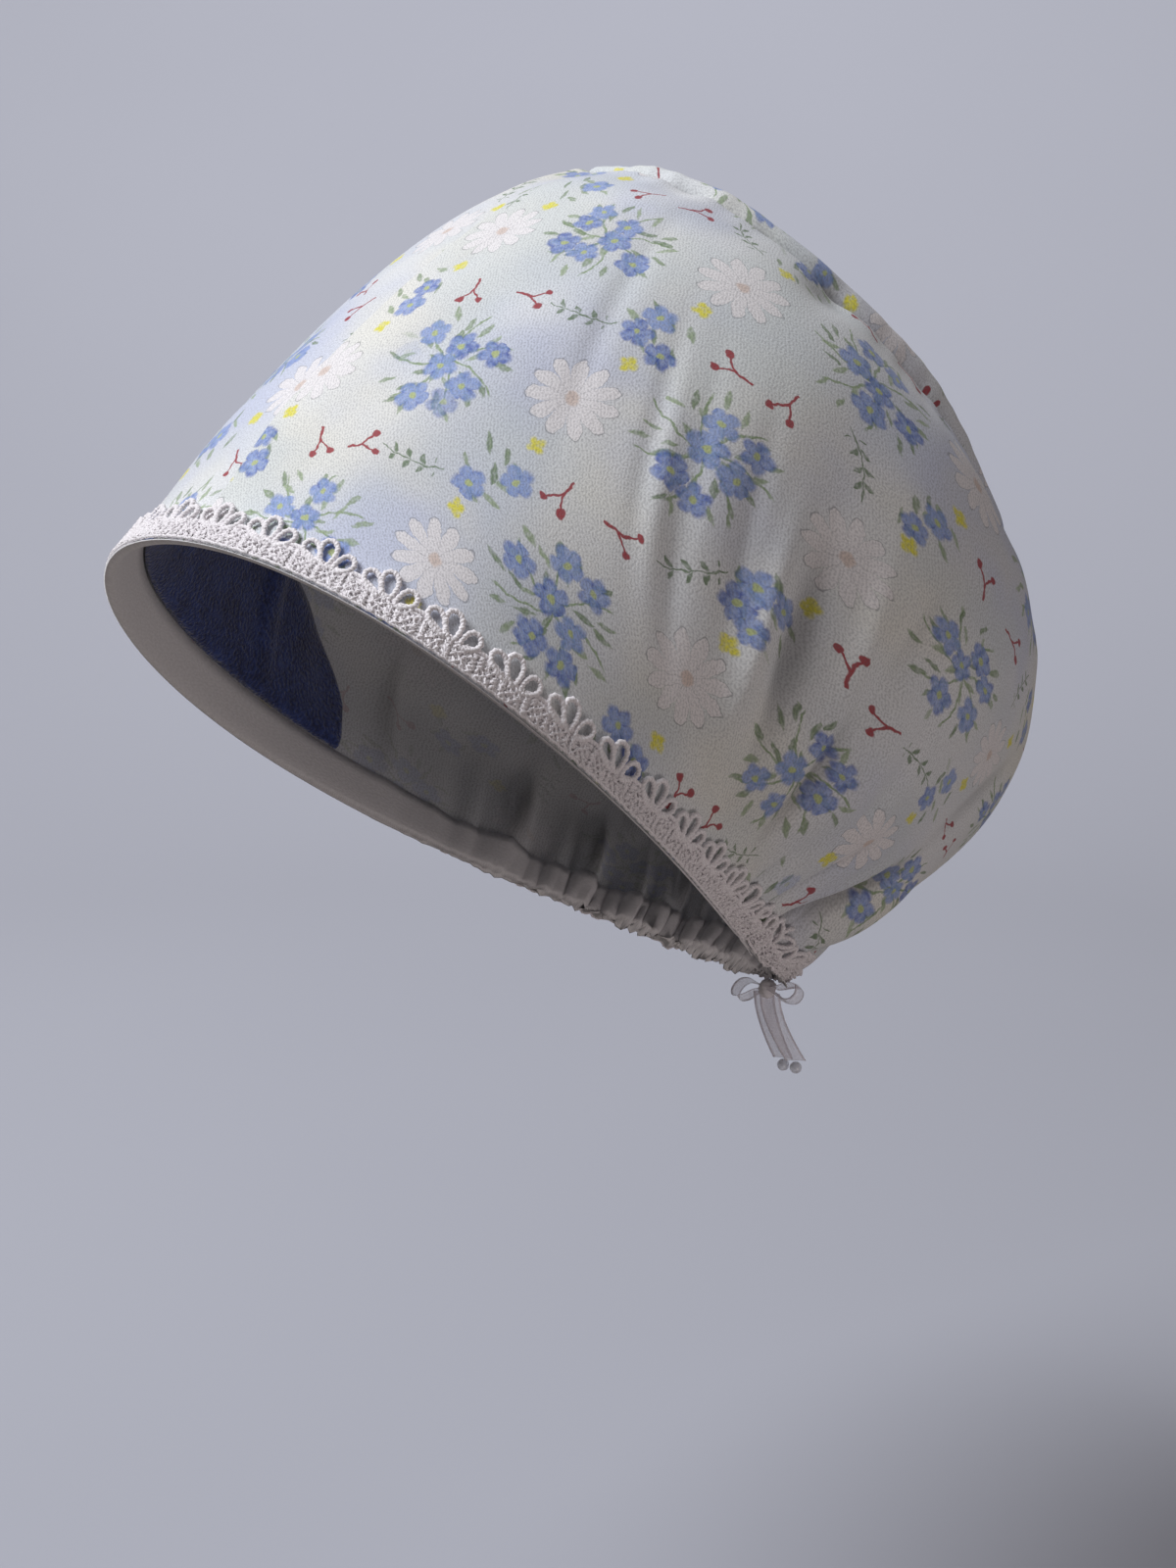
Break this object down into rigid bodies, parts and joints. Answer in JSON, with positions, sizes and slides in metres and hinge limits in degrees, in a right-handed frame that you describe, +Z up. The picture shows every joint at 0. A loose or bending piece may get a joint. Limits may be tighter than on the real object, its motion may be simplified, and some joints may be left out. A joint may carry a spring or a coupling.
{
  "type": "scrub cap",
  "caption": "Soft printed cloth cap with a band and an oval crown, a sloping open head hollow, lace edge, inner sweatband and a small bow at the nape.",
  "frame": {"origin": "middle of the head opening, where the wearer's head goes in", "axes": "+Z up as worn, -Y the way the wearer faces, +X the wearer's left"},
  "size_m": [0.1866, 0.2789, 0.2634],
  "materials": {
    "band_panel": "matt printed cotton",
    "crown_panel": "matt printed cotton",
    "hem_facing": "matt cotton",
    "sweatband": "towelling",
    "lace_trim": "thread lace",
    "ribbon_knot": "sheer ribbon",
    "ribbon_loop_left": "sheer ribbon",
    "ribbon_loop_right": "sheer ribbon",
    "ribbon_tail_left": "sheer ribbon",
    "ribbon_tail_right": "sheer ribbon",
    "tail_bead_left": "clear gloss",
    "tail_bead_right": "clear gloss"
  },
  "bodies": {
    "root": {"band_panel": "band_panel", "crown_panel": "crown_panel", "hem_facing": "hem_facing", "sweatband": "sweatband", "lace_trim": "lace_trim", "ribbon_knot": "ribbon_knot", "ribbon_loop_left": "ribbon_loop_left", "ribbon_loop_right": "ribbon_loop_right", "ribbon_tail_left": "ribbon_tail_left", "ribbon_tail_right": "ribbon_tail_right", "tail_bead_left": "tail_bead_left", "tail_bead_right": "tail_bead_right"}
  },
  "joints": []
}
